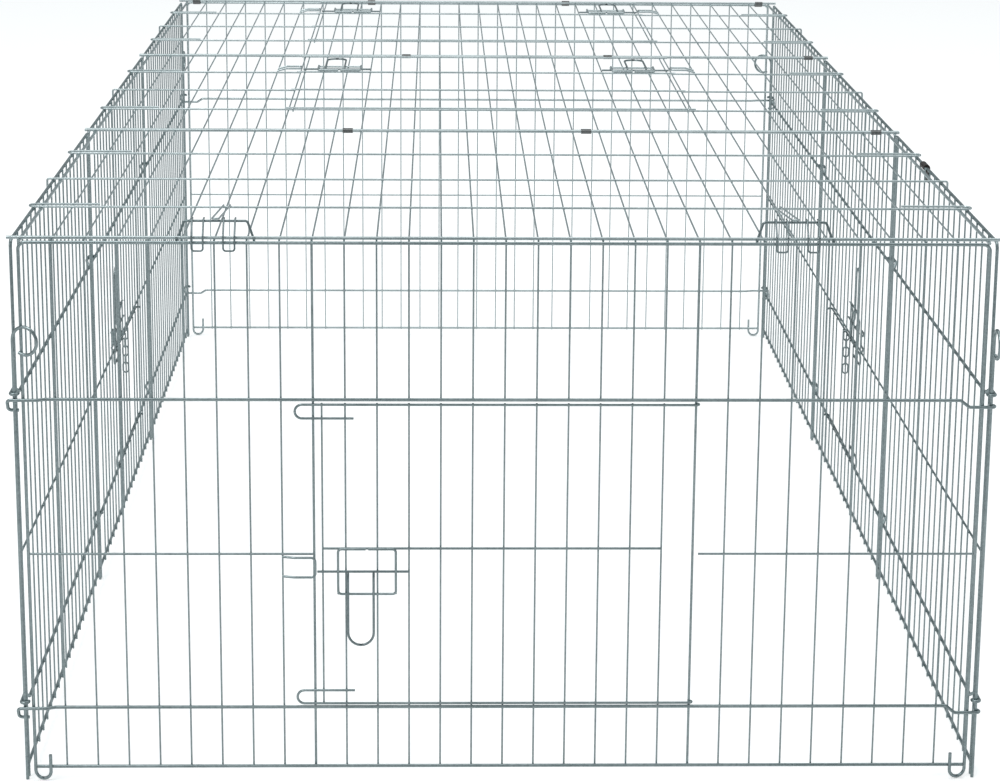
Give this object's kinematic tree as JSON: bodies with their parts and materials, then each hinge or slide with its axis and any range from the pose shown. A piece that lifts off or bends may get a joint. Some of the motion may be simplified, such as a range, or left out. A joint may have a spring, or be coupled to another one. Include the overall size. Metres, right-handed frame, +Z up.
{
  "type": "wire run cage",
  "caption": "Long, low wire cage without a floor: hinged front door, small side doors, folding roof with lids, bolt latches and corner pegs.",
  "frame": {"origin": "centre of the footprint on the ground", "axes": "+Y from the front wall with the large door to the back wall, +Z up"},
  "size_m": [1.15, 2.2328, 0.6809],
  "materials": {
    "galvanised_wire": "satin zinc coat",
    "clip_sheet": "dull dark zinc",
    "dark_clip": "matt"
  },
  "bodies": {
    "walls": {"front_panel": "galvanised_wire", "back_panel": "galvanised_wire", "left_wall_front": "galvanised_wire", "left_wall_middle": "galvanised_wire", "left_wall_rear": "galvanised_wire", "right_wall_front": "galvanised_wire", "right_wall_middle": "galvanised_wire", "right_wall_rear": "galvanised_wire", "back_clips": "clip_sheet", "wall_spring_clip": "dark_clip"},
    "front_door": {"front_door": "galvanised_wire"},
    "roof_rear": {"roof_rear": "galvanised_wire", "rear_joint_clips": "clip_sheet"},
    "roof_middle": {"roof_middle": "galvanised_wire", "front_joint_clips": "clip_sheet"},
    "roof_front": {"roof_front": "galvanised_wire"},
    "front_lid": {"front_lid": "galvanised_wire"},
    "rear_lid": {"rear_lid": "galvanised_wire"},
    "left_roof_catch": {"left_roof_catch": "galvanised_wire"},
    "right_roof_catch": {"right_roof_catch": "galvanised_wire"},
    "left_side_door": {"left_side_door": "galvanised_wire", "left_side_door_chain": "galvanised_wire"},
    "right_side_door": {"right_side_door": "galvanised_wire", "right_side_door_chain": "galvanised_wire"},
    "front_door_bolt": {"front_door_bolt": "galvanised_wire"},
    "front_door_handle": {"front_door_handle": "galvanised_wire"},
    "front_lid_right_bolt": {"front_lid_right_bolt": "galvanised_wire"},
    "front_lid_right_handle": {"front_lid_right_handle": "galvanised_wire"},
    "front_lid_left_bolt": {"front_lid_left_bolt": "galvanised_wire"},
    "front_lid_left_handle": {"front_lid_left_handle": "galvanised_wire"},
    "rear_lid_right_bolt": {"rear_lid_right_bolt": "galvanised_wire"},
    "rear_lid_right_handle": {"rear_lid_right_handle": "galvanised_wire"},
    "rear_lid_left_bolt": {"rear_lid_left_bolt": "galvanised_wire"},
    "rear_lid_left_handle": {"rear_lid_left_handle": "galvanised_wire"},
    "right_side_door_bolt": {"right_side_door_bolt": "galvanised_wire"},
    "right_side_door_handle": {"right_side_door_handle": "galvanised_wire"},
    "left_side_door_bolt": {"left_side_door_bolt": "galvanised_wire"},
    "left_side_door_handle": {"left_side_door_handle": "galvanised_wire"},
    "corner_peg_front_left": {"corner_peg_front_left": "galvanised_wire"},
    "corner_peg_front_right": {"corner_peg_front_right": "galvanised_wire"},
    "corner_peg_back_left": {"corner_peg_back_left": "galvanised_wire"},
    "corner_peg_back_right": {"corner_peg_back_right": "galvanised_wire"}
  },
  "joints": [
    {"name": "front_door_swing", "type": "hinge", "parent": "walls", "child": "front_door", "pos_m": [0.222, -1.0775, 0.279], "axis": [0, 0, 1], "range_deg": [0, 150]},
    {"name": "right_side_door_swing", "type": "hinge", "parent": "walls", "child": "right_side_door", "pos_m": [0.5615, 0.177, 0.185], "axis": [0, 0, 1], "range_deg": [0, 120]},
    {"name": "left_side_door_swing", "type": "hinge", "parent": "walls", "child": "left_side_door", "pos_m": [-0.5615, 0.177, 0.185], "axis": [0, 0, -1], "range_deg": [0, 120]},
    {"name": "roof_rear_lift", "type": "hinge", "parent": "walls", "child": "roof_rear", "pos_m": [0, 1.074, 0.6583], "axis": [-1, 0, 0], "range_deg": [0, 100]},
    {"name": "roof_middle_fold", "type": "hinge", "parent": "roof_rear", "child": "roof_middle", "pos_m": [0, 0.35647, 0.6583], "axis": [-1, 0, 0], "range_deg": [0, 80]},
    {"name": "roof_front_fold", "type": "hinge", "parent": "roof_middle", "child": "roof_front", "pos_m": [0, -0.36107, 0.6583], "axis": [-1, 0, 0], "range_deg": [0, 165]},
    {"name": "front_lid_lift", "type": "hinge", "parent": "roof_middle", "child": "front_lid", "pos_m": [0, -0.17823, 0.6577], "axis": [-1, 0, 0], "range_deg": [-105, 0]},
    {"name": "rear_lid_lift", "type": "hinge", "parent": "roof_rear", "child": "rear_lid", "pos_m": [0, 0.5393, 0.6577], "axis": [-1, 0, 0], "range_deg": [-105, 0]},
    {"name": "left_roof_catch_turn", "type": "hinge", "parent": "roof_front", "child": "left_roof_catch", "pos_m": [-0.3315, -1.074, 0.6583], "axis": [-1, 0, 0], "range_deg": [0, 40]},
    {"name": "right_roof_catch_turn", "type": "hinge", "parent": "roof_front", "child": "right_roof_catch", "pos_m": [0.3315, -1.074, 0.6583], "axis": [-1, 0, 0], "range_deg": [0, 40]},
    {"name": "front_door_bolt_slide", "type": "slide", "parent": "front_door", "child": "front_door_bolt", "axis": [1, 0, 0], "range_m": [-0.008, 0.018]},
    {"name": "front_door_handle_swing", "type": "hinge", "parent": "front_door_bolt", "child": "front_door_handle", "pos_m": [-0.1675, -1.0811, 0.26], "axis": [-1, 0, 0], "range_deg": [0, 120]},
    {"name": "front_lid_right_bolt_slide", "type": "slide", "parent": "front_lid", "child": "front_lid_right_bolt", "axis": [-1, 0, 0], "range_m": [-0.008, 0.018]},
    {"name": "front_lid_right_handle_swing", "type": "hinge", "parent": "front_lid_right_bolt", "child": "front_lid_right_handle", "pos_m": [0.2415, 0.21163, 0.6584], "axis": [1, 0, 0], "range_deg": [0, 120]},
    {"name": "front_lid_left_bolt_slide", "type": "slide", "parent": "front_lid", "child": "front_lid_left_bolt", "axis": [1, 0, 0], "range_m": [-0.008, 0.018]},
    {"name": "front_lid_left_handle_swing", "type": "hinge", "parent": "front_lid_left_bolt", "child": "front_lid_left_handle", "pos_m": [-0.2415, 0.21163, 0.6584], "axis": [1, 0, 0], "range_deg": [0, 120]},
    {"name": "rear_lid_right_bolt_slide", "type": "slide", "parent": "rear_lid", "child": "rear_lid_right_bolt", "axis": [-1, 0, 0], "range_m": [-0.008, 0.018]},
    {"name": "rear_lid_right_handle_swing", "type": "hinge", "parent": "rear_lid_right_bolt", "child": "rear_lid_right_handle", "pos_m": [0.2415, 0.92917, 0.6584], "axis": [1, 0, 0], "range_deg": [0, 120]},
    {"name": "rear_lid_left_bolt_slide", "type": "slide", "parent": "rear_lid", "child": "rear_lid_left_bolt", "axis": [1, 0, 0], "range_m": [-0.008, 0.018]},
    {"name": "rear_lid_left_handle_swing", "type": "hinge", "parent": "rear_lid_left_bolt", "child": "rear_lid_left_handle", "pos_m": [-0.2415, 0.92917, 0.6584], "axis": [1, 0, 0], "range_deg": [0, 120]},
    {"name": "right_side_door_bolt_slide", "type": "slide", "parent": "right_side_door", "child": "right_side_door_bolt", "axis": [0, 1, 0], "range_m": [-0.008, 0.018]},
    {"name": "right_side_door_handle_swing", "type": "hinge", "parent": "right_side_door_bolt", "child": "right_side_door_handle", "pos_m": [0.5651, -0.0517, 0.303], "axis": [0, 1, 0], "range_deg": [0, 120]},
    {"name": "left_side_door_bolt_slide", "type": "slide", "parent": "left_side_door", "child": "left_side_door_bolt", "axis": [0, 1, 0], "range_m": [-0.008, 0.018]},
    {"name": "left_side_door_handle_swing", "type": "hinge", "parent": "left_side_door_bolt", "child": "left_side_door_handle", "pos_m": [-0.5651, -0.0517, 0.303], "axis": [0, -1, 0], "range_deg": [0, 120]},
    {"name": "corner_peg_front_left_draw", "type": "slide", "parent": "walls", "child": "corner_peg_front_left", "axis": [0, 0, 1], "range_m": [0, 0.545]},
    {"name": "corner_peg_front_right_draw", "type": "slide", "parent": "walls", "child": "corner_peg_front_right", "axis": [0, 0, 1], "range_m": [0, 0.545]},
    {"name": "corner_peg_back_left_draw", "type": "slide", "parent": "walls", "child": "corner_peg_back_left", "axis": [0, 0, 1], "range_m": [0, 0.545]},
    {"name": "corner_peg_back_right_draw", "type": "slide", "parent": "walls", "child": "corner_peg_back_right", "axis": [0, 0, 1], "range_m": [0, 0.545]}
  ]
}
